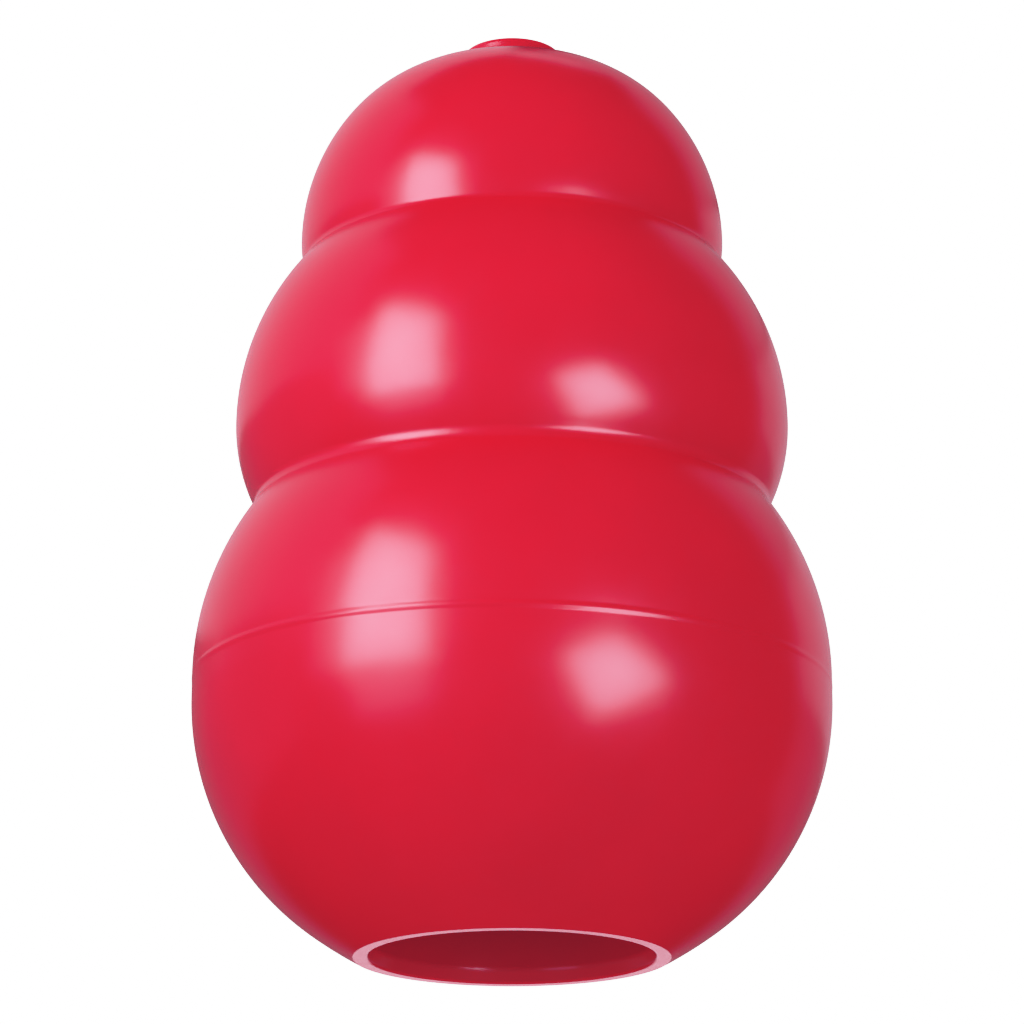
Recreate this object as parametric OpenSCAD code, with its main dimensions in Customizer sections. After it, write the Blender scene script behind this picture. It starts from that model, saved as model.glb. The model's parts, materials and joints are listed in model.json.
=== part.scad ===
// Hollow rubber chew toy: three stacked round lobes, a wide mouth below and a small collared hole on top.
// The toy is one moulding, drawn here as its named sections, which meet face to face.
// Every section is turned about Z from one shared wall outline. Z = 0 is the flat rim it stands on.

/* [Bottom lobe] */
// Radius of the bottom lobe at its widest
base_r = 35; // [34:0.5:38]
// Height of the mould line above the rim
seam_z = 29.8; // [27:0.1:33]
// Straight height of the wall above the mould line
band_above = 0.8; // [0.1:0.1:2]
// Straight height of the wall below the mould line
band_below = 1.7; // [0.1:0.1:2.5]
// Angle that the lower half's upper arc turns through before the foot's arc begins
base_arc_turn = 54; // [45:1:60]
// Radius of the foot's arc, which runs on to the rim
foot_r = 48.7; // [40:0.1:60]
// Width of the raised mould line
seam_w = 1.1; // [0.6:0.1:1.6]
// Height of the raised mould line above the wall
seam_h = 0.15; // [0.05:0.05:0.4]

/* [Mouth] */
// Outer radius of the flat rim
rim_r = 17.1; // [16.2:0.1:20]
// Inner radius of the flat rim
mouth_r = 15.5; // [15.3:0.1:16.2]
// Radius of the throat behind the rim
throat_r = 15.0; // [14:0.1:15.4]
// Height over which the mouth narrows to the throat
taper_h = 1.5; // [0.5:0.1:3]
// Height at which the throat opens into the lower chamber
throat_h = 6.0; // [3.5:0.1:8]

/* [Middle lobe] */
// Radius of the middle lobe at its widest
middle_r = 30.8; // [29:0.1:33]
// Height of its widest place above the mould line
middle_rise = 29.9; // [28:0.1:33]

/* [Top lobe] */
// Radius of the top lobe at its widest
top_r = 23.85; // [22:0.05:26]
// Height of its widest place above the middle lobe's widest
top_rise = 21.9; // [20.5:0.1:24]
// Radius of the arc from its widest place up to the crown
top_arc_r = 22.7; // [20.5:0.1:24.5]
// Angle that this arc turns through before the crown begins
top_arc_turn = 38; // [25:0.5:50]
// Radius of the crown's arc
crown_r = 18.4; // [17:0.1:20]

/* [Creases] */
// Height of the lower crease above the mould line
low_crease_rise = 20.4; // [18:0.1:23]
// Depth of the lower crease inside the middle lobe's widest
low_crease_in = 2.5; // [1:0.1:4]
// Height of the upper crease above the middle lobe's widest
high_crease_rise = 18.9; // [17:0.1:19.6]
// Depth of the upper crease inside the top lobe's widest
high_crease_in = 0.4; // [0.3:0.1:2]
// Radius of the fillet along the lower crease
low_crease_fillet = 1.6; // [0.3:0.1:3]
// Radius of the fillet along the upper crease
high_crease_fillet = 1.0; // [0.3:0.1:2]

/* [Top collar] */
// Outer radius of the collar
collar_r = 5.6; // [4.8:0.1:7]
// Height of the collar above the crown's highest level
collar_rise = 2.4; // [2.1:0.1:4]
// Radius of the collar's outer top edge
collar_edge = 0.5; // [0.2:0.1:0.7]
// Radius of the flare from the collar down to the crown
collar_flare = 1.7; // [0.5:0.1:2]
// Radius of the small hole through the collar
hole_r = 3.0; // [2:0.1:3.8]
// Length of the small hole
hole_length = 15.0; // [10:0.5:20]

/* [Chambers] */
// Wall thickness at the bottom lobe's widest
base_wall = 14.0; // [11:0.5:16]
// Wall thickness at the middle lobe's widest
middle_wall = 13.7; // [11:0.1:15]
// Radius of the neck between the two chambers
neck_r = 13.5; // [11:0.1:14.5]
// Radius of the rounded ridge at the neck
neck_fillet = 4.0; // [1:0.5:6]

/* [Hidden] */
$fn = 180;

rubber_red = [0.83, 0.10, 0.20];
// Every cut runs past the face that it opens by this much
overrun = 1;
// An arc that would only touch its neighbour is drawn this much off its radius, so that the two cross
arc_tuck = 0.003;

// Heights of the lobes' widest places and of the creases
middle_z = seam_z + middle_rise;
top_z = middle_z + top_rise;
low_crease_z = seam_z + low_crease_rise;
high_crease_z = middle_z + high_crease_rise;

// Outline points as [radius, height]: where each lobe is widest, and where its arcs end
rim_point = [rim_r, 0];
base_low = [base_r, seam_z - band_below];
base_high = [base_r, seam_z + band_above];
low_crease = [middle_r - low_crease_in, low_crease_z];
middle_wide = [middle_r, middle_z];
high_crease = [top_r - high_crease_in, high_crease_z];
top_wide = [top_r, top_z];

// The bottom lobe's lower half is an arc that goes on without a corner into the foot's arc. The radius of the
// first arc follows from its turn, and from the foot's arc, which ends on the rim
base_way = [cos(base_arc_turn), -sin(base_arc_turn)];
turn_chord = [1, 0] - base_way;
foot_reach = base_low - foot_r * base_way - rim_point;
chord_along = foot_reach * turn_chord;
base_arc_r = (chord_along - sqrt(chord_along^2 - turn_chord * turn_chord * (foot_reach * foot_reach - foot_r^2)))
    / (turn_chord * turn_chord);
base_arc_centre = base_low - [base_arc_r, 0];
foot_top = base_arc_centre + base_arc_r * base_way;
foot_centre = foot_top - foot_r * base_way;

// The crown's arc goes on from the top lobe's arc without a corner
top_arc_centre = [top_r - top_arc_r, top_z];
top_way = [cos(top_arc_turn), sin(top_arc_turn)];
crown_foot = top_arc_centre + top_arc_r * top_way;
crown_centre = crown_foot - crown_r * top_way;
crown_z = crown_centre[1] + crown_r;
toy_h = crown_z + collar_rise;

// The collar's flare touches the collar's wall and the crown
flare_centre = [
    collar_r + collar_flare,
    crown_centre[1] + sqrt((crown_r + collar_flare)^2 - (collar_r + collar_flare - crown_centre[0])^2)
];
flare_foot = crown_centre + (flare_centre - crown_centre) * crown_r / (crown_r + collar_flare);

// The chambers are widest where the lobes round them are
throat_point = [throat_r, throat_h];
low_chamber_wide = [base_r - base_wall, seam_z];
neck_point = [neck_r, low_crease_z];
high_chamber_wide = [middle_r - middle_wall, middle_z];
hole_foot = [hole_r, toy_h - hole_length];

// Radius of the circle whose upright tangent is at the point wide and which passes through the point end
function arc_radius(wide, end) = norm(wide - end)^2 / (2 * (wide[0] - end[0]));

// Centre of that circle, level with wide
function arc_centre(wide, end) = wide - [arc_radius(wide, end), 0];

// The crossing of two circles that lies away from the axis
function crossing(centre_a, radius_a, centre_b, radius_b) =
    let (gap = norm(centre_b - centre_a))
    let (along = (radius_a^2 - radius_b^2 + gap^2) / (2 * gap))
    let (aside = sqrt(radius_a^2 - along^2))
    let (way = (centre_b - centre_a) / gap)
    centre_a + along * way + aside * [way[1], -way[0]];

// Area from the axis out to a circle, between two heights
module disc_band(centre, radius, low_z, high_z) {
    intersection() {
        translate([0, low_z]) square([centre[0] + radius + overrun, high_z - low_z]);
        union() {
            translate(centre) circle(radius);
            if (centre[0] > 0) translate([0, low_z]) square([centre[0], high_z - low_z]);
        }
    }
}

// Area from the axis out to the arc that joins wide and end
module flank(wide, end) {
    disc_band(arc_centre(wide, end), arc_radius(wide, end), min(wide[1], end[1]), max(wide[1], end[1]));
}

// Fillet in the corner at the point crease, between the arcs of the lobes below and above it
module crease_web(wide_below, crease, wide_above, fillet) {
    radius_below = arc_radius(wide_below, crease);
    radius_above = arc_radius(wide_above, crease);
    centre_below = arc_centre(wide_below, crease);
    centre_above = arc_centre(wide_above, crease);
    centre = crossing(centre_below, radius_below + fillet, centre_above, radius_above + fillet);
    touch_below = centre_below + (centre - centre_below) * radius_below / (radius_below + fillet);
    touch_above = centre_above + (centre - centre_above) * radius_above / (radius_above + fillet);
    difference() {
        polygon([[0, touch_below[1]], touch_below, centre, touch_above, [0, touch_above[1]]]);
        translate(centre) circle(fillet);
    }
}

// Bottom lobe's lower half: the foot's arc, then the arc up to the widest place
module base_half() {
    disc_band(foot_centre, foot_r - arc_tuck, 0, foot_top[1]);
    disc_band(base_arc_centre, base_arc_r, 0, base_low[1]);
}

// Top lobe above its widest place: its arc, then the crown
module top_dome() {
    disc_band(top_arc_centre, top_arc_r, top_z, crown_foot[1]);
    disc_band(crown_centre, crown_r, crown_foot[1], crown_z);
}

// Collar round the small hole, with its rounded top edge and its flared foot
module collar_outline() {
    translate([0, flare_foot[1]]) square([collar_r, toy_h - collar_edge - flare_foot[1]]);
    translate([0, toy_h - collar_edge]) square([collar_r - collar_edge, collar_edge]);
    translate([collar_r - collar_edge, toy_h - collar_edge]) circle(collar_edge);
    difference() {
        polygon([[0, flare_foot[1]], flare_foot, flare_centre, [0, flare_centre[1]]]);
        translate(flare_centre) circle(collar_flare);
    }
}

// Low round ridge left along the mould line
module seam_ridge() {
    ridge_r = (seam_w^2 / 4 + seam_h^2) / (2 * seam_h);
    intersection() {
        translate([base_r - seam_h, seam_z - seam_w / 2]) square([seam_h * 2, seam_w]);
        translate([base_r + seam_h - ridge_r, seam_z]) circle(ridge_r);
    }
}

// Everything inside the outer skin, as if the toy were solid
module skin_outline() {
    base_half();
    translate([0, base_low[1]]) square([base_r, band_below + band_above]);
    flank(base_high, low_crease);
    crease_web(base_high, low_crease, middle_wide, low_crease_fillet);
    flank(middle_wide, low_crease);
    flank(middle_wide, high_crease);
    crease_web(middle_wide, high_crease, top_wide, high_crease_fillet);
    flank(top_wide, high_crease);
    top_dome();
    collar_outline();
    seam_ridge();
}

// The mouth, the two chambers and the small hole
module hollow_outline() {
    translate([0, -overrun]) square([mouth_r, overrun]);
    polygon([[0, 0], [mouth_r, 0], [throat_r, taper_h], [0, taper_h]]);
    translate([0, taper_h]) square([throat_r, throat_h - taper_h]);
    flank(low_chamber_wide, throat_point);
    flank(low_chamber_wide, neck_point);
    crease_web(low_chamber_wide, neck_point, high_chamber_wide, neck_fillet);
    flank(high_chamber_wide, neck_point);
    flank(high_chamber_wide, hole_foot);
    translate([0, hole_foot[1]]) square([hole_r, hole_length + overrun]);
}

// The wall between two heights, turned about the axis
module section(low_z, high_z) {
    color(rubber_red) rotate_extrude() intersection() {
        difference() {
            skin_outline();
            hollow_outline();
        }
        translate([0, low_z]) square([base_r + overrun, high_z - low_z]);
    }
}

// Ring with the flat rim, the narrowing mouth and the throat
module mouth_lip() {
    section(0, throat_h);
}

// Bottom lobe from the throat up to the mould line
module base_bowl() {
    section(throat_h, seam_z);
}

// Bottom lobe from the mould line up to the lower crease
module base_shoulder() {
    section(seam_z, low_crease_z);
}

// Middle lobe between the two creases
module middle_lobe() {
    section(low_crease_z, high_crease_z);
}

// Top lobe from the upper crease to the foot of the collar
module top_lobe() {
    section(high_crease_z, flare_foot[1]);
}

// Collar with the small hole, from its flared foot up
module top_collar() {
    section(flare_foot[1], toy_h);
}

mouth_lip();
base_bowl();
base_shoulder();
middle_lobe();
top_lobe();
top_collar();
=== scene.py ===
"""Hollow rubber chew toy: three round lobes about Z, a wide mouth below and a small collared hole on top.

The toy is one moulding. A Geometry Nodes tree sweeps its wall round the axis from an outline of arcs, and
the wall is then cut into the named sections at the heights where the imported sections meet.
"""

import json
import math

import bpy
import numpy as np
from bpy.props import FloatProperty, FloatVectorProperty, IntProperty, PointerProperty
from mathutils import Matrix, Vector


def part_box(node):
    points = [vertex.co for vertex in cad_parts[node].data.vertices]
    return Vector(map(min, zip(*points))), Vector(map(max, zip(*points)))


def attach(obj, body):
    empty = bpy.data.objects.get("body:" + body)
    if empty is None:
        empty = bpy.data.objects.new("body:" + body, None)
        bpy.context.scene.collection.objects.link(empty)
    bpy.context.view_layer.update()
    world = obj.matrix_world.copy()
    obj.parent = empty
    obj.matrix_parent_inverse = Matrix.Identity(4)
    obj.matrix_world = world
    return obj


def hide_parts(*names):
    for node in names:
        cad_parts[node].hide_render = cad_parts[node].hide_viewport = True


bl_info = {
    "name": "Hollow rubber chew toy",
    "version": (1, 0, 0),
    "blender": (4, 5, 0),
    "location": "3D View > Sidebar > Chew toy",
    "description": "Builds a hollow rubber chew toy, section by section, with its rubber and a studio",
    "category": "Add Mesh",
}

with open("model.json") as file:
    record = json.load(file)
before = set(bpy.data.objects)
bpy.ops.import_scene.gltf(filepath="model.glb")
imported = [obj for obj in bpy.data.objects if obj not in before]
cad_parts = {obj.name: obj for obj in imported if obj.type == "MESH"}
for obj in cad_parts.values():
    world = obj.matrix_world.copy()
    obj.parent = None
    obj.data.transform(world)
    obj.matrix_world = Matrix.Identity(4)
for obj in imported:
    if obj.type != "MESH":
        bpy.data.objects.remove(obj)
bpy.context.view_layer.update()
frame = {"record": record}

MM = 0.001
CLOSE = 1e-6
SWEEP_RADIUS = 0.02
WEAR_SCALE = 160.0
FLOOR_SIDES = 96
SENSOR_WIDTH = 36
FULL_TURN = 2 * math.pi
MOUNTS = {mount["name"]: mount for mount in frame["record"]["mounts"]}
SECTIONS = ("mouth_lip", "base_bowl", "base_shoulder", "middle_lobe", "top_lobe", "top_collar")


def mm(value):
    """A length given in millimetres, in metres."""
    return value * MM


def top_of(node):
    """Height of a packed section's upper cut."""
    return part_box(node)[1].z


def bore_radius(mount):
    """Radius of a round hole that the record states."""
    return mm(MOUNTS[mount]["dims"]["r_mm"])


def bore_length(mount):
    """Length of a round hole that the record states."""
    return mm(MOUNTS[mount]["dims"]["length_mm"])


def length(name, description, default, **more):
    """A length that a user can set, in metres."""
    return FloatProperty(
        name=name, description=description, default=default, min=0, precision=5, unit="LENGTH", **more
    )


def turn(name, description, default):
    """An angle that a user can set, given in degrees."""
    return FloatProperty(name=name, description=description, default=math.radians(default), unit="ROTATION")


def share(name, description, default, most=1):
    """A plain number that a user can set."""
    return FloatProperty(name=name, description=description, default=default, min=0, max=most)


def colour(name, description, default):
    """A colour that a user can set."""
    return FloatVectorProperty(
        name=name, description=description, default=default, subtype="COLOR", min=0, max=1
    )


class ToyShape(bpy.types.PropertyGroup):
    """Sizes of the moulding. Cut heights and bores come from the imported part."""

    base_radius: length("Bottom lobe radius", "Radius of the bottom lobe at its widest", mm(35))
    seam_height: length("Mould line height", "Height of the mould line above the rim", top_of("base_bowl"))
    band_above: length("Band above", "Straight height of the wall above the mould line", mm(0.8))
    band_below: length("Band below", "Straight height of the wall below the mould line", mm(1.7))
    base_arc_turn: turn("Bottom arc turn", "Angle that the lower arc turns through before the foot", 54)
    foot_radius: length("Foot radius", "Radius of the foot's arc, which runs on to the rim", mm(48.7))
    rim_radius: length("Rim radius", "Outer radius of the flat rim", mm(17.1))
    mouth_radius: length("Mouth radius", "Inner radius of the flat rim", mm(15.5))
    throat_radius: length("Throat radius", "Radius of the throat behind the rim", bore_radius("throat"))
    taper_height: length("Mouth taper", "Height over which the mouth narrows to the throat", mm(1.5))
    throat_height: length("Throat height", "Height of the throat's upper end", top_of("mouth_lip"))
    middle_radius: length("Middle lobe radius", "Radius of the middle lobe at its widest", mm(30.8))
    middle_rise: length("Middle lobe rise", "Its widest place above the mould line", mm(29.9))
    top_radius: length("Top lobe radius", "Radius of the top lobe at its widest", mm(23.85))
    top_rise: length("Top lobe rise", "Its widest place above the middle lobe's", mm(21.9))
    top_arc_radius: length("Top arc radius", "Arc from the top lobe's widest place to the crown", mm(22.7))
    top_arc_turn: turn("Top arc turn", "Angle that this arc turns through before the crown", 38)
    crown_radius: length("Crown radius", "Radius of the crown's arc", mm(18.4))
    low_crease_height: length("Lower crease height", "Height of the lower crease", top_of("base_shoulder"))
    low_crease_in: length("Lower crease depth", "Depth inside the middle lobe's widest", mm(2.5))
    high_crease_height: length("Upper crease height", "Height of the upper crease", top_of("middle_lobe"))
    high_crease_in: length("Upper crease depth", "Depth inside the top lobe's widest", mm(0.4))
    low_crease_fillet: length("Lower crease fillet", "Radius of the fillet along the lower crease", mm(1.6))
    high_crease_fillet: length("Upper crease fillet", "Radius of the fillet along the upper crease", mm(1))
    toy_height: length("Toy height", "Height of the collar's top above the rim", top_of("top_collar"))
    collar_radius: length("Collar radius", "Outer radius of the collar", mm(5.6))
    collar_edge: length("Collar edge", "Radius of the collar's outer top edge", mm(0.5))
    collar_flare: length("Collar flare", "Radius of the flare from the collar down to the crown", mm(1.7))
    hole_radius: length("Top hole radius", "Radius of the small hole", bore_radius("top_hole"))
    hole_length: length("Top hole length", "Length of the small hole", bore_length("top_hole"))
    base_wall: length("Bottom lobe wall", "Wall thickness at the bottom lobe's widest", mm(14))
    middle_wall: length("Middle lobe wall", "Wall thickness at the middle lobe's widest", mm(13.7))
    neck_radius: length("Neck radius", "Radius of the neck between the chambers", mm(13.5))
    neck_fillet: length("Neck fillet", "Radius of the rounded ridge at the neck", mm(4))
    rim_round: length("Rim edge", "Radius of the rim's outer edge", mm(0.25))
    mouth_round: length("Mouth edge", "Radius of the rim's inner edge", mm(0.4))
    throat_round: length("Throat edge", "Radius of the edge where the mouth's taper ends", mm(2))
    throat_end_round: length("Throat end", "Radius of the edge at the throat's upper end", mm(0.8))
    hole_round: length("Hole edge", "Radius of the edges of the small hole", mm(0.35))
    ridge_width: length("Mould line width", "Width of the ridge along the mould line", mm(1.1))
    ridge_height: length("Mould line ridge", "Height of the ridge along the mould line", mm(0.12))
    ridge_tilt: share("Mould line tilt", "How far it drops towards the right, for each length across", 0.0135)
    ridge_wear: share("Mould line unevenness", "Share of the ridge's height that comes and goes", 0.45)
    ridge_fade: share("Mould line fade", "Share of the ridge's height that is gone at the sides", 0.7)
    spacing: length("Ring spacing", "Distance between rings on the outer skin", mm(0.6))
    chamber_spacing: length("Chamber ring spacing", "Distance between rings in the chambers", mm(1.1))
    seam_spacing: length("Mould line ring spacing", "Distance between rings on the mould line", mm(0.07))
    segments: IntProperty(name="Segments", description="Steps round the axis", default=480, min=24, max=960)
    seed: IntProperty(name="Seed", description="Seed of the mould line's unevenness", default=7, min=0)


class RubberFinish(bpy.types.PropertyGroup):
    """Colour and surface of the rubber."""

    red: colour("Red", "Colour of the rubber", (0.57, 0.0039, 0.0205))
    deep_red: colour("Deep red", "Colour of the slightly darker patches", (0.545, 0.0037, 0.0196))
    gloss_tint: colour("Gloss tint", "Tint of the reflection seen straight on", (0.7, 0.8, 1.0))
    ior: share("Index of refraction", "Index of refraction of the rubber", 1.55, 3)
    roughness: share("Roughness", "Mean roughness of the surface", 0.25)
    roughness_spread: share("Roughness spread", "How far the roughness comes and goes", 0.015)
    patch_size: length("Patch size", "Size of the patches in the colour", mm(14))
    wave_size: length("Wave size", "Size of the faint waves in the skin", mm(5))
    wave_depth: length("Wave depth", "Depth of the faint waves in the skin", mm(0.012))


class StudioStage(bpy.types.PropertyGroup):
    """Camera, floor and lights."""

    camera_distance: length("Camera distance", "Distance in front of the axis", mm(415))
    camera_drop: length("Camera drop", "Distance below the rim", mm(76.897))
    camera_pitch: turn("Camera pitch", "Angle that the camera looks up", 17.019)
    lens: FloatProperty(name="Lens", description="Focal length in millimetres", default=137.278, min=1)
    key_light: share("Key light", "Radiance of the left softbox as the rubber's colour takes it", 4.9, 100)
    key_shine: share("Key shine", "Radiance of the left softbox in the highlights", 10.6, 100)
    fill_light: share("Fill light", "Radiance of the right softbox as the rubber's colour takes it", 1.5, 100)
    fill_shine: share("Fill shine", "Radiance of the right softbox in the highlights", 10.6, 100)
    backdrop: colour("Backdrop", "Colour behind the toy", (1, 1, 1))
    floor: colour("Floor", "Colour of the floor", (0.86, 0.86, 0.86))
    backdrop_strength: share("Backdrop strength", "Radiance of the backdrop for the camera", 1.5, 10)
    room: share("Room light", "Radiance of the soft light from all round, which makes no highlight", 1.0, 10)
    card_tint: colour("Card tint", "Colour of the cards", (1.0, 0.86, 1.0))
    card_away: length("Cards away", "From the toy's axis to the cards", mm(600))
    wing_card: share("Wing card", "Radiance of the reflector beside the left softbox", 1.3, 10)
    under_card: share("Under card", "Radiance of the reflector below the left softbox", 2.0, 10)
    left_card: share("Left card", "Radiance of the white card on the left", 0.72, 10)
    left_back_card: share("Left back card", "Radiance of the white card behind on the left", 0.75, 10)
    highest_card: share("Highest card", "Radiance of the white card behind and above the crown", 0.75, 10)
    right_high_card: share("Right high card", "Radiance of the highest card behind on the right", 0.42, 10)
    right_card: share("Right card", "Radiance of the white card behind on the right", 0.62, 10)
    low_card: share("Low cards", "Radiance of the cards below the others", 0.24, 10)
    table_card: share("Table card", "Radiance of the bright table that the rim mirrors", 1.4, 10)
    floor_radius: length("Floor radius", "Radius of the floor", 2.5)
    floor_gap: length("Floor gap", "Depth of the floor below the rim", mm(0.02))
    floor_fade_start: length("Fade start", "Distance at which the floor begins to fade", 0.05)
    floor_fade_end: length("Fade end", "Distance at which the floor has faded into the backdrop", 0.36)


def shape():
    return bpy.context.scene.toy_shape


def finish():
    return bpy.context.scene.rubber_finish


def stage():
    return bpy.context.scene.studio_stage


# Outline of the moulding, as arrays of (radius, height)


def steps(distance, spacing):
    return max(2, math.ceil(distance / spacing) + 1)


def arc(centre, radius, start, end, spacing):
    """Points on an arc from angle start to angle end."""
    angles = np.linspace(start, end, steps(abs(end - start) * radius, spacing))
    return np.stack([centre[0] + radius * np.cos(angles), centre[1] + radius * np.sin(angles)], 1)


def line(start, end, spacing):
    """Points on a straight line."""
    start, end = np.array(start, float), np.array(end, float)
    return start + np.linspace(0, 1, steps(np.linalg.norm(end - start), spacing))[:, None] * (end - start)


def angle(centre, point):
    return math.atan2(point[1] - centre[1], point[0] - centre[0])


def flank(wide, end):
    """Centre and radius of the arc with an upright tangent at wide that passes through end."""
    radius = ((wide[0] - end[0]) ** 2 + (wide[1] - end[1]) ** 2) / (2 * (wide[0] - end[0]))
    return (wide[0] - radius, wide[1]), radius


def crossing(centre_a, radius_a, centre_b, radius_b):
    """The crossing of two circles that lies away from the axis."""
    a, b = np.array(centre_a), np.array(centre_b)
    gap = np.linalg.norm(b - a)
    along = (radius_a**2 - radius_b**2 + gap**2) / (2 * gap)
    way = (b - a) / gap
    return a + along * way + math.sqrt(radius_a**2 - along**2) * np.array([way[1], -way[0]])


def lobe_pair(wide_below, crease, wide_above, fillet, spacing):
    """The upper flank of one lobe, the fillet in the crease and the lower flank of the lobe above."""
    centre_below, radius_below = flank(wide_below, crease)
    centre_above, radius_above = flank(wide_above, crease)
    centre = crossing(centre_below, radius_below + fillet, centre_above, radius_above + fillet)
    to_below, to_above = angle(centre, centre_below) % FULL_TURN, angle(centre, centre_above) % FULL_TURN
    return [
        arc(centre_below, radius_below, 0, angle(centre_below, centre), spacing),
        arc(centre, fillet, to_below, to_above, fillet / 8),
        arc(centre_above, radius_above, angle(centre_above, centre), 0, spacing),
    ]


def rounded(points, corner, radius, count=9):
    """The same points with the sharp one nearest to corner rounded off."""
    at = int(np.argmin(np.linalg.norm(points - np.array(corner), axis=1)))
    sharp = points[at]
    back, ahead = points[at - 1] - sharp, points[at + 1] - sharp
    back, ahead = back / np.linalg.norm(back), ahead / np.linalg.norm(ahead)
    half = math.acos(float(np.clip(back @ ahead, -1, 1))) / 2
    reach = radius / math.tan(half)
    middle = back + ahead
    centre = sharp + middle / np.linalg.norm(middle) * radius / math.sin(half)
    first, last = sharp + back * reach - centre, sharp + ahead * reach - centre
    span = math.acos(float(np.clip(first @ last / radius**2, -1, 1)))
    shares = np.linspace(0, 1, count)[:, None]
    curve = (np.sin((1 - shares) * span) * first + np.sin(shares * span) * last) / math.sin(span) + centre
    beside = reach + radius * span / (count - 1)
    before = points[:at][np.linalg.norm(points[:at] - sharp, axis=1) > beside * 1.1]
    after = points[at + 1 :][np.linalg.norm(points[at + 1 :] - sharp, axis=1) > beside * 1.1]
    return np.concatenate([before, [sharp + back * beside], curve, [sharp + ahead * beside], after])


def thinned(points, low, high, every):
    """All the points between two heights, and one in a few of the others."""
    keep = (points[:, 1] > low) & (points[:, 1] < high)
    keep[::every] = keep[-1] = True
    return points[keep]


def cut_at(points, height):
    """The same points with the one nearest to a height moved along the curve onto that height."""
    at = int(np.argmin(np.abs(points[:, 1] - height)))
    if abs(points[at, 1] - height) > CLOSE / 10:
        (r0, z0), (r1, z1), (r2, z2) = points[at - 1 : at + 2]
        w0 = (height - z1) * (height - z2) / ((z0 - z1) * (z0 - z2))
        w1 = (height - z0) * (height - z2) / ((z1 - z0) * (z1 - z2))
        w2 = (height - z0) * (height - z1) / ((z2 - z0) * (z2 - z1))
        points[at, 0] = w0 * r0 + w1 * r1 + w2 * r2
    points[at, 1] = height
    return points


def joined(spans):
    """One run of points from several, with the doubled ends left out."""
    points = np.concatenate(spans)
    keep = np.ones(len(points), bool)
    keep[1:] = np.linalg.norm(np.diff(points, axis=0), axis=1) > MM / 1000
    return points[keep]


def rim_middle(s):
    """Where the skin and the hollow part, in the middle of the flat rim."""
    return ((s.rim_radius + s.mouth_radius) / 2, 0)


def collar_middle(s):
    """Where they meet again, in the middle of the collar's flat top."""
    return ((s.collar_radius - s.collar_edge + s.hole_radius) / 2, s.toy_height)


def bowl_arcs(s, base_low, rim):
    """Centre and radius of the bottom lobe's lower arc, and the centre of the foot's, which ends on the rim."""
    base_low, rim = np.array(base_low), np.array(rim)
    way = np.array([math.cos(s.base_arc_turn), -math.sin(s.base_arc_turn)])
    chord = np.array([1, 0]) - way
    reach = base_low - s.foot_radius * way - rim
    along = reach @ chord
    square = chord @ chord
    radius = (along - math.sqrt(along**2 - square * (reach @ reach - s.foot_radius**2))) / square
    centre = base_low - [radius, 0]
    return centre, radius, centre + (radius - s.foot_radius) * way


def skin_run(s):
    """The outer skin, from the middle of the rim up to the middle of the collar's top."""
    middle_z = s.seam_height + s.middle_rise
    top_z = middle_z + s.top_rise
    rim = (s.rim_radius, 0)
    base_low = (s.base_radius, s.seam_height - s.band_below)
    base_high = (s.base_radius, s.seam_height + s.band_above)
    low_crease = (s.middle_radius - s.low_crease_in, s.low_crease_height)
    high_crease = (s.top_radius - s.high_crease_in, s.high_crease_height)
    middle_wide, top_wide = (s.middle_radius, middle_z), (s.top_radius, top_z)
    bowl_centre, bowl_radius, foot_centre = bowl_arcs(s, base_low, rim)
    shoulder_centre, shoulder_radius = flank(base_high, low_crease)
    low_pair = lobe_pair(base_high, low_crease, middle_wide, s.low_crease_fillet, s.spacing)
    shoulder, low_fillet, belly = low_pair
    shoulder_end = angle(shoulder_centre, shoulder[-1])
    wall = joined(
        [
            arc(bowl_centre, bowl_radius, -s.base_arc_turn, 0, s.seam_spacing),
            line(base_low, (s.base_radius, s.seam_height), s.seam_spacing),
            line((s.base_radius, s.seam_height), base_high, s.seam_spacing),
            arc(shoulder_centre, shoulder_radius, 0, shoulder_end, s.seam_spacing),
        ]
    )
    seam_reach = s.ridge_width / 2 + s.ridge_tilt * s.base_radius
    every = max(1, round(s.spacing / s.seam_spacing))
    wall = thinned(wall, s.seam_height - seam_reach, s.seam_height + seam_reach, every)

    arc_centre = np.array([s.top_radius - s.top_arc_radius, top_z])
    way = np.array([math.cos(s.top_arc_turn), math.sin(s.top_arc_turn)])
    crown_centre = arc_centre + (s.top_arc_radius - s.crown_radius) * way
    flare_r = s.collar_radius + s.collar_flare
    flare_rise = math.sqrt((s.crown_radius + s.collar_flare) ** 2 - (flare_r - crown_centre[0]) ** 2)
    flare_centre = (flare_r, crown_centre[1] + flare_rise)
    flare_start = angle(flare_centre, crown_centre) % FULL_TURN
    edge_centre = (s.collar_radius - s.collar_edge, s.toy_height - s.collar_edge)
    points = joined(
        [
            line(rim_middle(s), rim, s.spacing),
            arc(foot_centre, s.foot_radius, angle(foot_centre, rim), -s.base_arc_turn, s.spacing),
            wall,
            low_fillet,
            belly,
            *lobe_pair(middle_wide, high_crease, top_wide, s.high_crease_fillet, s.spacing),
            arc(arc_centre, s.top_arc_radius, 0, s.top_arc_turn, s.spacing),
            arc(crown_centre, s.crown_radius, s.top_arc_turn, angle(crown_centre, flare_centre), s.spacing),
            arc(flare_centre, s.collar_flare, flare_start, math.pi, s.collar_flare / 10),
            line((s.collar_radius, flare_centre[1]), (s.collar_radius, edge_centre[1]), s.spacing / 2),
            arc(edge_centre, s.collar_edge, 0, math.pi / 2, s.collar_edge / 6),
            line((edge_centre[0], s.toy_height), collar_middle(s), s.spacing),
        ]
    )
    return rounded(points, rim, s.rim_round)


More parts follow.
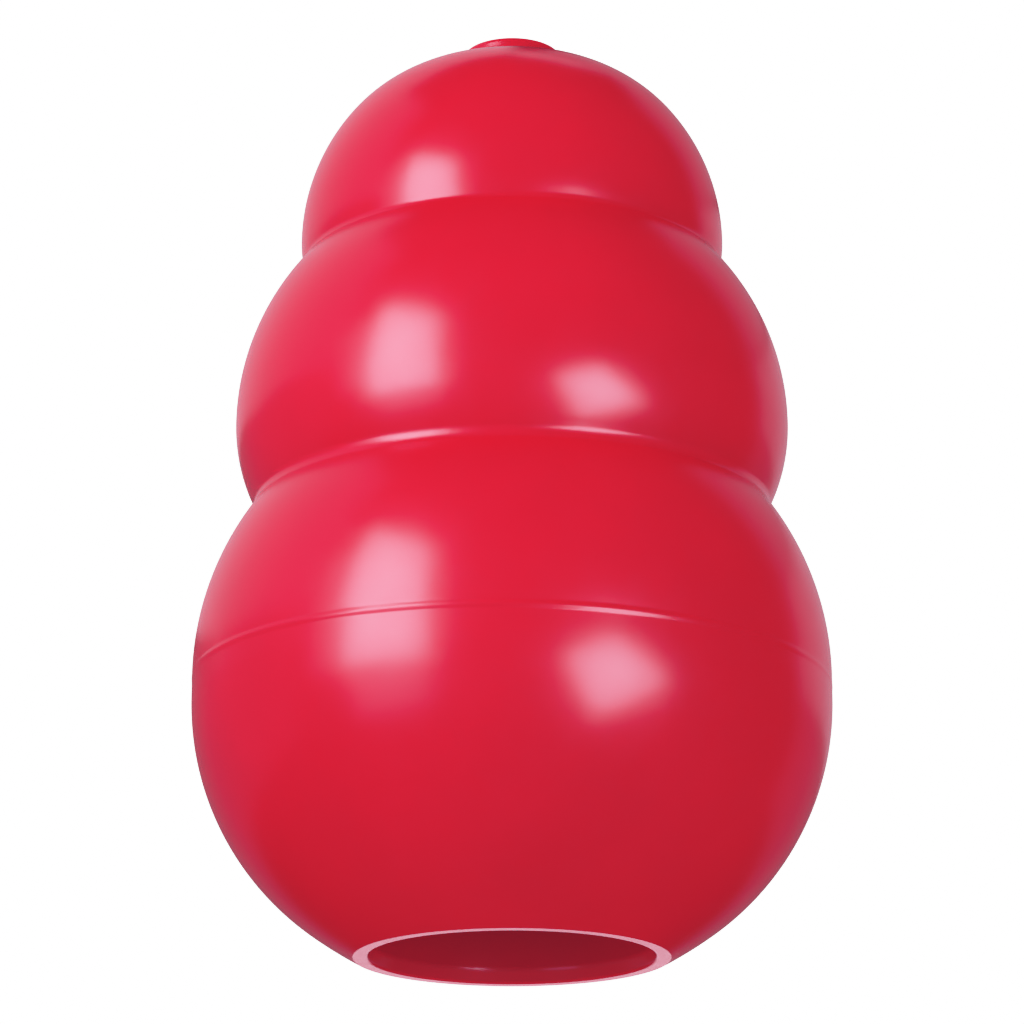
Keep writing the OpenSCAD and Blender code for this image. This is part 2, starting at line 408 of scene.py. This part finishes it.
def hollow_run(s):
    """The inner wall, from the middle of the rim up to the middle of the collar's top."""
    mouth, hole_edge = (s.mouth_radius, 0), (s.hole_radius, s.toy_height)
    throat, throat_end = (s.throat_radius, s.taper_height), (s.throat_radius, s.throat_height)
    hole_foot = (s.hole_radius, s.toy_height - s.hole_length)
    low_wide = (s.base_radius - s.base_wall, s.seam_height)
    neck = (s.neck_radius, s.low_crease_height)
    high_wide = (s.middle_radius - s.middle_wall, s.seam_height + s.middle_rise)
    low_centre, low_radius = flank(low_wide, throat_end)
    high_centre, high_radius = flank(high_wide, hole_foot)
    points = joined(
        [
            line(rim_middle(s), mouth, s.spacing),
            line(mouth, throat, s.spacing),
            line(throat, throat_end, s.spacing),
            arc(low_centre, low_radius, angle(low_centre, throat_end), 0, s.chamber_spacing),
            *lobe_pair(low_wide, neck, high_wide, s.neck_fillet, s.chamber_spacing),
            arc(high_centre, high_radius, 0, angle(high_centre, hole_foot), s.chamber_spacing),
            line(hole_foot, hole_edge, s.spacing),
            line(hole_edge, collar_middle(s), s.spacing),
        ]
    )
    for corner, radius in (
        (mouth, s.mouth_round),
        (throat, s.throat_round),
        (throat_end, s.throat_end_round),
        (hole_foot, s.hole_round),
        (hole_edge, s.hole_round),
    ):
        points = rounded(points, corner, radius)
    return points


def wall_outline(s):
    """Closed outline of the wall, up the hollow and down the skin, with a point at the height of each cut."""
    hollow, skin = hollow_run(s), skin_run(s)
    for node in SECTIONS[:-1]:
        hollow, skin = cut_at(hollow, top_of(node)), cut_at(skin, top_of(node))
    return np.concatenate([hollow, skin[-2:0:-1]])


# Node trees


def add_node(tree, kind, inputs=None, **settings):
    """A node with its settings and its inputs, which are values or other nodes' outputs."""
    node = tree.nodes.new(kind)
    for name, value in settings.items():
        setattr(node, name, value)
    for key, value in (inputs or {}).items():
        if isinstance(value, bpy.types.NodeSocket):
            tree.links.new(value, node.inputs[key])
        else:
            node.inputs[key].default_value = value
    return node


def maths(tree, operation, *values, clamp=False):
    """Output of a Math node."""
    inputs = dict(enumerate(values))
    return add_node(tree, "ShaderNodeMath", inputs, operation=operation, use_clamp=clamp).outputs[0]


def vector_maths(tree, operation, *values):
    """Output of a Vector Math node that gives a vector."""
    inputs = dict(enumerate(values))
    return add_node(tree, "ShaderNodeVectorMath", inputs, operation=operation).outputs["Vector"]


def new_tree(name, sockets):
    """A Geometry Nodes tree with one geometry in and out and the named inputs, and its input sockets."""
    tree = bpy.data.node_groups.new(name, "GeometryNodeTree")
    tree.interface.new_socket("Geometry", in_out="OUTPUT", socket_type="NodeSocketGeometry")
    tree.interface.new_socket("Geometry", in_out="INPUT", socket_type="NodeSocketGeometry")
    for socket, kind in sockets:
        tree.interface.new_socket(socket, in_out="INPUT", socket_type=f"NodeSocket{kind}")
    return tree, tree.nodes.new("NodeGroupInput").outputs


def close_tree(tree, geometry, material):
    """Ends a tree in Realize Instances and Set Material."""
    smooth = add_node(tree, "GeometryNodeSetShadeSmooth", {"Geometry": geometry})
    whole = add_node(tree, "GeometryNodeRealizeInstances", {"Geometry": smooth.outputs[0]})
    painted = add_node(tree, "GeometryNodeSetMaterial", {"Geometry": whole.outputs[0], "Material": material})
    add_node(tree, "NodeGroupOutput", {0: painted.outputs[0]})
    return tree


def swept(tree, inputs):
    """The tree's outline swept round the Z axis."""
    outline = add_node(tree, "GeometryNodeMeshToCurve", {"Mesh": inputs["Geometry"]})
    path = add_node(
        tree,
        "GeometryNodeCurvePrimitiveCircle",
        {"Resolution": inputs["Segments"], "Radius": inputs["Sweep Radius"]},
    )
    return add_node(
        tree,
        "GeometryNodeCurveToMesh",
        {"Curve": path.outputs["Curve"], "Profile Curve": outline.outputs["Curve"]},
    ).outputs["Mesh"]


def outward(tree, position, distance):
    """Offset away from the Z axis by a distance."""
    flat = vector_maths(tree, "MULTIPLY", position, (1, 1, 0))
    way = vector_maths(tree, "NORMALIZE", flat)
    return add_node(
        tree, "ShaderNodeVectorMath", {0: way, "Scale": distance}, operation="SCALE"
    ).outputs["Vector"]


def turned_wall_tree():
    """Sweeps the wall's outline round Z and raises the uneven ridge of the mould line on its skin."""
    tree, inputs = new_tree(
        "Turned wall",
        [
            ("Segments", "Int"),
            ("Sweep Radius", "Float"),
            ("Skin Radius", "Float"),
            ("Seam Height", "Float"),
            ("Ridge Width", "Float"),
            ("Ridge Height", "Float"),
            ("Ridge Tilt", "Float"),
            ("Ridge Wear", "Float"),
            ("Ridge Fade", "Float"),
            ("Seed", "Float"),
            ("Rubber", "Material"),
        ],
    )
    position = add_node(tree, "GeometryNodeInputPosition").outputs[0]
    apart = add_node(tree, "ShaderNodeSeparateXYZ", {0: position}).outputs
    level = maths(tree, "MULTIPLY_ADD", apart["X"], inputs["Ridge Tilt"], apart["Z"])
    from_seam = maths(tree, "ABSOLUTE", maths(tree, "SUBTRACT", level, inputs["Seam Height"]))
    across = maths(tree, "DIVIDE", from_seam, maths(tree, "MULTIPLY", inputs["Ridge Width"], 0.5), clamp=True)
    wave = maths(tree, "COSINE", maths(tree, "MULTIPLY", across, math.pi))
    hump = maths(tree, "MULTIPLY_ADD", wave, 0.5, 0.5)
    wear = add_node(
        tree,
        "ShaderNodeTexNoise",
        {"Vector": position, "W": inputs["Seed"], "Scale": WEAR_SCALE, "Detail": 3.0, "Roughness": 0.6},
        noise_dimensions="4D",
    ).outputs["Fac"]
    unworn = maths(tree, "SUBTRACT", 1.0, maths(tree, "MULTIPLY", wear, inputs["Ridge Wear"]))
    flat = vector_maths(tree, "MULTIPLY", position, (1, 1, 0))
    radius = add_node(tree, "ShaderNodeVectorMath", {0: flat}, operation="LENGTH").outputs["Value"]
    sideways = maths(tree, "DIVIDE", apart["X"], radius)
    faded = maths(tree, "MULTIPLY", maths(tree, "MULTIPLY", sideways, sideways), inputs["Ridge Fade"])
    kept = maths(tree, "MULTIPLY", unworn, maths(tree, "SUBTRACT", 1.0, faded))
    rise = maths(tree, "MULTIPLY", maths(tree, "MULTIPLY", hump, kept), inputs["Ridge Height"])
    on_skin = add_node(
        tree, "FunctionNodeCompare", {"A": radius, "B": inputs["Skin Radius"]}, operation="GREATER_THAN"
    )
    raised = add_node(
        tree,
        "GeometryNodeSetPosition",
        {
            "Geometry": swept(tree, inputs),
            "Selection": on_skin.outputs[0],
            "Offset": outward(tree, position, rise),
        },
    )
    return close_tree(tree, raised.outputs[0], inputs["Rubber"])


def run_tree(name, base, tree, values):
    """The plain mesh that a tree makes from a base mesh. Values are set by the inputs' names."""
    maker = bpy.data.objects.new(name + "_maker", base)
    bpy.context.collection.objects.link(maker)
    modifier = maker.modifiers.new("Maker", "NODES")
    modifier.node_group = tree
    for item in tree.interface.items_tree:
        if item.item_type == "SOCKET" and item.in_out == "INPUT" and item.name in values:
            modifier[item.identifier] = values[item.name]
    graph = bpy.context.evaluated_depsgraph_get()
    mesh = bpy.data.meshes.new_from_object(maker.evaluated_get(graph))
    bpy.data.objects.remove(maker)
    bpy.data.meshes.remove(base)
    mesh.name = name
    return mesh


# Pieces


def outline_mesh(points):
    """A closed line in the plane that the sweep reads: across is X, and height is minus Y."""
    mesh = bpy.data.meshes.new("wall_outline")
    count = len(points)
    mesh.from_pydata(
        [(r - SWEEP_RADIUS, -z, 0) for r, z in points], [(i, (i + 1) % count) for i in range(count)], []
    )
    return mesh


def whole_wall():
    """Places, normals and faces of the whole wall, made once for each set of sizes."""
    s = shape()
    sizes = tuple(getattr(s, name) for name in s.__annotations__)
    if sizes not in made_walls:
        values = {
            "Segments": s.segments,
            "Sweep Radius": SWEEP_RADIUS,
            "Skin Radius": s.base_radius - s.ridge_width,
            "Seam Height": s.seam_height,
            "Ridge Width": s.ridge_width,
            "Ridge Height": s.ridge_height,
            "Ridge Tilt": s.ridge_tilt,
            "Ridge Wear": s.ridge_wear,
            "Ridge Fade": s.ridge_fade,
            "Seed": float(s.seed),
            "Rubber": red_rubber(),
        }
        mesh = run_tree("wall", outline_mesh(wall_outline(s)), turned_wall_tree(), values)
        place, normals = (np.zeros(len(mesh.vertices) * 3, np.float32) for _ in range(2))
        faces = np.zeros(len(mesh.loops), np.int32)
        mesh.vertices.foreach_get("co", place)
        mesh.vertex_normals.foreach_get("vector", normals)
        mesh.loops.foreach_get("vertex_index", faces)
        bpy.data.meshes.remove(mesh)
        made_walls.clear()
        made_walls[sizes] = place.reshape(-1, 3), normals.reshape(-1, 3), faces.reshape(-1, 4)
    return made_walls[sizes]


made_walls = {}


def cut_face(place, height, facing):
    """The flat ring of faces that closes a section at a cut, facing up or down."""
    ring = np.flatnonzero(np.abs(place[:, 2] - height) < CLOSE)
    ring = ring[np.argsort(np.arctan2(place[ring, 1], place[ring, 0]), kind="stable")].reshape(-1, 2)
    far = np.linalg.norm(place[ring][:, :, :2], axis=2)
    ring = np.take_along_axis(ring, np.argsort(far, axis=1), 1)
    ahead = np.roll(ring, -1, axis=0)
    faces = np.column_stack([ring[:, 0], ring[:, 1], ahead[:, 1], ahead[:, 0]])
    return faces if facing > 0 else faces[:, ::-1]


def add_piece(name, mesh, node):
    """Links a finished mesh as a piece of rubber on the toy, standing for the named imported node."""
    piece = bpy.data.objects.new(name, mesh)
    bpy.context.collection.objects.link(piece)
    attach(piece, "root")
    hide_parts(node)


def add_section(node):
    """One named section of the wall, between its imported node's lowest and highest levels."""
    place, normals, faces = whole_wall()
    low, high = (corner.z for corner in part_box(node))
    level = place[faces, 2].mean(axis=1)
    faces = faces[(level > low - CLOSE) & (level < high + CLOSE)]
    shading = normals[faces]
    for height, facing in ((low, -1), (high, 1)):
        if CLOSE < height < shape().toy_height - CLOSE:
            flat = cut_face(place, height, facing)
            faces = np.concatenate([faces, flat])
            shading = np.concatenate([shading, np.broadcast_to((0.0, 0.0, facing), (*flat.shape, 3))])
    used, corners = np.unique(faces, return_inverse=True)
    mesh = bpy.data.meshes.new(node + "_rubber")
    mesh.from_pydata(place[used].tolist(), [], corners.reshape(-1, 4).tolist())
    mesh.materials.append(red_rubber())
    mesh.normals_split_custom_set(shading.reshape(-1, 3).tolist())
    add_piece(node + "_rubber", mesh, node)


# Rubber


def red_rubber():
    """Smooth semi-gloss red rubber with faint patches in its colour and slightly uneven gloss."""
    if "moulded_rubber" in bpy.data.materials:
        return bpy.data.materials["moulded_rubber"]
    f = finish()
    material = bpy.data.materials.new("moulded_rubber")
    material.use_nodes = True
    tree = material.node_tree
    tree.nodes.clear()
    place = add_node(tree, "ShaderNodeTexCoord").outputs["Object"]

    def noise(size, detail, roughness):
        return add_node(
            tree,
            "ShaderNodeTexNoise",
            {"Vector": place, "Scale": 1 / size, "Detail": detail, "Roughness": roughness},
        ).outputs["Fac"]

    patches = add_node(
        tree,
        "ShaderNodeMapRange",
        {"Value": noise(f.patch_size, 3.0, 0.55), "From Min": 0.35, "From Max": 0.65},
    )
    paint = add_node(
        tree,
        "ShaderNodeMix",
        {0: patches.outputs["Result"], 6: (*f.red, 1), 7: (*f.deep_red, 1)},
        data_type="RGBA",
    )
    gloss = add_node(
        tree,
        "ShaderNodeMapRange",
        {
            "Value": noise(f.patch_size / 6, 4.0, 0.6),
            "From Min": 0.3,
            "From Max": 0.7,
            "To Min": f.roughness - f.roughness_spread,
            "To Max": f.roughness + f.roughness_spread,
        },
    )
    waves = add_node(
        tree, "ShaderNodeBump", {"Height": noise(f.wave_size, 1.0, 0.5), "Distance": f.wave_depth}
    )
    surface = add_node(
        tree,
        "ShaderNodeBsdfPrincipled",
        {
            "Normal": waves.outputs["Normal"],
            "Base Color": paint.outputs[2],
            "Roughness": gloss.outputs["Result"],
            "IOR": f.ior,
            "Specular Tint": (*f.gloss_tint, 1),
        },
    )
    add_node(tree, "ShaderNodeOutputMaterial", {"Surface": surface.outputs[0]})
    return material


# Studio


def aim(thing, place, at):
    """Puts a thing at a place, facing a point with its minus Z."""
    thing.location = place
    thing.rotation_euler = (Vector(at) - Vector(place)).to_track_quat("-Z", "Y").to_euler()


def round_toy(azimuth, elevation, distance, height):
    """A place at a distance from the toy's axis. Azimuth 0 is in front, and 90 on the right."""
    a, e = math.radians(azimuth), math.radians(elevation)
    way = Vector((math.sin(a) * math.cos(e), -math.cos(a) * math.cos(e), math.sin(e)))
    return way * distance + Vector((0, 0, height))


def add_softbox(name, place, facing, roll, width, height, radiance, tint=(1, 1, 1)):
    """A soft rectangular light of a given radiance, which faces along a direction."""
    data = bpy.data.lights.new(name, "AREA")
    data.shape = "RECTANGLE"
    data.size, data.size_y = width, height
    data.energy = radiance * math.pi * width * height
    data.color = tint
    light = bpy.data.objects.new(name, data)
    bpy.context.collection.objects.link(light)
    aim(light, place, place + facing)
    light.rotation_euler.rotate_axis("Z", math.radians(roll))
    light.visible_camera = False
    return light


def add_camera():
    """The camera at the photograph's viewing angle, low in front of the toy and looking up."""
    t = stage()
    data = bpy.data.cameras.new("camera")
    data.lens, data.sensor_width = t.lens, SENSOR_WIDTH
    data.clip_start, data.clip_end = mm(1), 20
    camera = bpy.data.objects.new("camera", data)
    camera.location = (0, -t.camera_distance, -t.camera_drop)
    camera.rotation_euler = (math.pi / 2 + t.camera_pitch, 0, 0)
    bpy.context.collection.objects.link(camera)
    bpy.context.scene.camera = camera


def floor_finish():
    """Pale floor that fades into the backdrop. It is clear from below, because the camera stands lower."""
    t = stage()
    material = bpy.data.materials.new("pale_floor")
    material.use_nodes = True
    tree = material.node_tree
    tree.nodes.clear()
    place = add_node(tree, "ShaderNodeTexCoord").outputs["Object"]
    distance = add_node(tree, "ShaderNodeVectorMath", {0: place}, operation="LENGTH").outputs["Value"]
    far = add_node(
        tree,
        "ShaderNodeMapRange",
        {"Value": distance, "From Min": t.floor_fade_start, "From Max": t.floor_fade_end},
        interpolation_type="SMOOTHSTEP",
    )
    near = add_node(tree, "ShaderNodeBsdfDiffuse", {"Color": (*t.floor, 1)})
    glow = add_node(tree, "ShaderNodeEmission", {"Color": (*t.backdrop, 1), "Strength": t.backdrop_strength})
    above = add_node(
        tree, "ShaderNodeMixShader", {0: far.outputs["Result"], 1: near.outputs[0], 2: glow.outputs[0]}
    )
    below = add_node(tree, "ShaderNodeNewGeometry").outputs["Backfacing"]
    clear = add_node(tree, "ShaderNodeBsdfTransparent")
    whole = add_node(tree, "ShaderNodeMixShader", {0: below, 1: above.outputs[0], 2: clear.outputs[0]})
    add_node(tree, "ShaderNodeOutputMaterial", {"Surface": whole.outputs[0]})
    return material


def add_floor():
    """A round floor just under the rim. It hides nothing from below and keeps no light off the toy."""
    t = stage()
    mesh = bpy.data.meshes.new("studio_floor")
    turns = np.linspace(0, FULL_TURN, FLOOR_SIDES + 1)[:-1]
    around = [(math.cos(a) * t.floor_radius, math.sin(a) * t.floor_radius) for a in turns]
    mesh.from_pydata([(x, y, -t.floor_gap) for x, y in around], [], [range(FLOOR_SIDES)])
    mesh.materials.append(floor_finish())
    floor = bpy.data.objects.new("studio_floor", mesh)
    bpy.context.collection.objects.link(floor)
    floor.visible_diffuse = floor.visible_glossy = floor.visible_shadow = False


def add_backdrop():
    """A plain white backdrop for the camera, and a soft light all round that the rubber doesn't mirror."""
    t = stage()
    world = bpy.data.worlds.new("studio")
    bpy.context.scene.world = world
    world.use_nodes = True
    tree = world.node_tree
    tree.nodes.clear()
    rays = add_node(tree, "ShaderNodeLightPath").outputs
    white = (*t.backdrop, 1)
    seen = add_node(tree, "ShaderNodeBackground", {"Color": white, "Strength": t.backdrop_strength})
    room = add_node(tree, "ShaderNodeBackground", {"Color": (1, 1, 1, 1), "Strength": t.room})
    both = add_node(
        tree, "ShaderNodeMixShader", {0: rays["Is Camera Ray"], 1: room.outputs[0], 2: seen.outputs[0]}
    )
    add_node(tree, "ShaderNodeOutputWorld", {"Surface": both.outputs[0]})
    world.cycles_visibility.glossy = False


def add_lights():
    """Two softboxes in front, and cards at the sides and behind that only show in the gloss."""
    t = stage()
    middle = mm(50)
    key, fill = (t.key_light, t.key_shine), (t.fill_light, t.fill_shine)
    # Where each softbox stands, as azimuth, elevation and distance, the way that its back faces, and its roll
    for name, place, back, roll, width, height, (light, shine) in (
        ("left_softbox", (-40.3, 17.5, mm(247)), (-67.1, -6.9), -1.3, mm(126), mm(186), key),
        ("right_softbox", (31.5, -5.6, mm(281)), (55.9, -45.6), 45, mm(118), mm(164), fill),
    ):
        box = round_toy(*place, middle), -round_toy(*back, 1, 0), roll, width, height
        # The two lights stand in one place, so the first is never hit by a ray that looks for the second
        soft = add_softbox(name + "_light", *box, light)
        soft.visible_glossy = soft.data.cycles.use_multiple_importance_sampling = False
        add_softbox(name + "_shine", *box, shine).visible_diffuse = False
    # Each card's azimuth, and how far it reaches across, down and up, as seen from the toy, in degrees
    for name, azimuth, across, low, high, radiance in (
        ("wing_card", -63, 18, 0, 30, t.wing_card),
        ("under_card", -42, 28, -18, -2, t.under_card),
        ("left_card", -100, 52, 15, 61, t.left_card),
        ("left_back_card", -153, 54, 15, 65, t.left_back_card),
        ("left_low_card", -107, 54, -18, 14, t.low_card),
        ("back_low_card", -160, 52, -18, 14, t.low_card),
        ("right_high_card", 147, 56, 27, 55, t.right_high_card),
        ("highest_card", 163, 32, 56, 68, t.highest_card),
        ("right_card", 147, 56, 6, 26, t.right_card),
        ("right_low_card", 147, 56, -18, 5, t.low_card),
        ("table_card", 180, 23, -23, -9, t.table_card),
    ):
        bottom, top = (t.card_away * math.tan(math.radians(edge)) for edge in (low, high))
        place = round_toy(azimuth, 0, t.card_away, middle + (bottom + top) / 2)
        facing = -round_toy(azimuth, 0, 1, 0)
        width = 2 * t.card_away * math.tan(math.radians(across / 2))
        card = add_softbox(name, place, facing, 0, width, top - bottom, radiance, t.card_tint)
        card.visible_diffuse = False


def set_view():
    """Plain display colours with a soft shoulder, so that the highlights keep their pink and don't burn out.

    Green has a low toe, because the photograph's weak reflections on the red are magenta.
    """
    view = bpy.context.scene.view_settings
    view.view_transform = "Standard"
    view.use_curve_mapping = True
    mapping = view.curve_mapping
    white = stage().backdrop_strength
    mapping.white_level = (white, white, white)
    shoulder = ((0.7, 0.7), (0.85, 0.81), (1.05, 0.875), (1.15, 0.91))
    for curve, black, toe in (
        (mapping.curves[0], 0.01, ((0.1, 0.1),)),
        (mapping.curves[1], 0.0085, ((0.013, 0.0128), (0.047, 0.0275), (0.3, 0.282), (0.6, 0.6))),
        (mapping.curves[2], 0.0165, ((0.03, 0.0305), (0.06, 0.06))),
    ):
        curve.points[0].location = (0, black)
        for level, shown in (*toe, *shoulder):
            curve.points.new(level / white, shown)
        for point in curve.points:
            point.handle_type = "VECTOR"
    mapping.update()


# Operators, one for each piece and one for the stage


class SectionOperator:
    """What the sections' operators share."""

    bl_options = {"REGISTER", "UNDO"}
    node = ""

    def execute(self, context):
        add_section(self.node)
        return {"FINISHED"}


class CHEWTOY_OT_mouth_lip(SectionOperator, bpy.types.Operator):
    """Ring with the flat rim, the narrowing mouth and the throat"""

    bl_idname = "chewtoy.mouth_lip"
    bl_label = "Mouth lip"
    node = "mouth_lip"


class CHEWTOY_OT_base_bowl(SectionOperator, bpy.types.Operator):
    """Bottom lobe from the throat up to the mould line"""

    bl_idname = "chewtoy.base_bowl"
    bl_label = "Base bowl"
    node = "base_bowl"


class CHEWTOY_OT_base_shoulder(SectionOperator, bpy.types.Operator):
    """Bottom lobe from the mould line up to the lower crease"""

    bl_idname = "chewtoy.base_shoulder"
    bl_label = "Base shoulder"
    node = "base_shoulder"


class CHEWTOY_OT_middle_lobe(SectionOperator, bpy.types.Operator):
    """Middle lobe between the two creases"""

    bl_idname = "chewtoy.middle_lobe"
    bl_label = "Middle lobe"
    node = "middle_lobe"


class CHEWTOY_OT_top_lobe(SectionOperator, bpy.types.Operator):
    """Top lobe from the upper crease to the foot of the collar"""

    bl_idname = "chewtoy.top_lobe"
    bl_label = "Top lobe"
    node = "top_lobe"


class CHEWTOY_OT_top_collar(SectionOperator, bpy.types.Operator):
    """Collar round the small top hole"""

    bl_idname = "chewtoy.top_collar"
    bl_label = "Top collar"
    node = "top_collar"


class CHEWTOY_OT_studio(bpy.types.Operator):
    """Camera, floor, backdrop and soft lights"""

    bl_idname = "chewtoy.studio"
    bl_label = "Studio"
    bl_options = {"REGISTER", "UNDO"}

    def execute(self, context):
        add_camera()
        add_floor()
        add_backdrop()
        add_lights()
        set_view()
        return {"FINISHED"}


STEPS = (
    CHEWTOY_OT_mouth_lip,
    CHEWTOY_OT_base_bowl,
    CHEWTOY_OT_base_shoulder,
    CHEWTOY_OT_middle_lobe,
    CHEWTOY_OT_top_lobe,
    CHEWTOY_OT_top_collar,
    CHEWTOY_OT_studio,
)


class CHEWTOY_PT_panel(bpy.types.Panel):
    """Sizes, finish and stage of the toy, with a button for each step."""

    bl_idname = "CHEWTOY_PT_panel"
    bl_label = "Chew toy"
    bl_space_type = "VIEW_3D"
    bl_region_type = "UI"
    bl_category = "Chew toy"

    def draw(self, context):
        for step in STEPS:
            self.layout.operator(step.bl_idname)
        for settings in (shape(), finish(), stage()):
            box = self.layout.box()
            for name in settings.__annotations__:
                box.prop(settings, name)


SETTINGS = {"toy_shape": ToyShape, "rubber_finish": RubberFinish, "studio_stage": StudioStage}


def register():
    for settings in SETTINGS.values():
        bpy.utils.register_class(settings)
    for cls in (*STEPS, CHEWTOY_PT_panel):
        bpy.utils.register_class(cls)
    for name, settings in SETTINGS.items():
        setattr(bpy.types.Scene, name, PointerProperty(type=settings))


def unregister():
    for name in SETTINGS:
        delattr(bpy.types.Scene, name)
    for cls in (CHEWTOY_PT_panel, *reversed(STEPS)):
        bpy.utils.unregister_class(cls)
    for settings in SETTINGS.values():
        bpy.utils.unregister_class(settings)


def main():
    register()
    for step in STEPS:
        group, name = step.bl_idname.split(".")
        getattr(getattr(bpy.ops, group), name)()


if __name__ == "__main__":
    main()
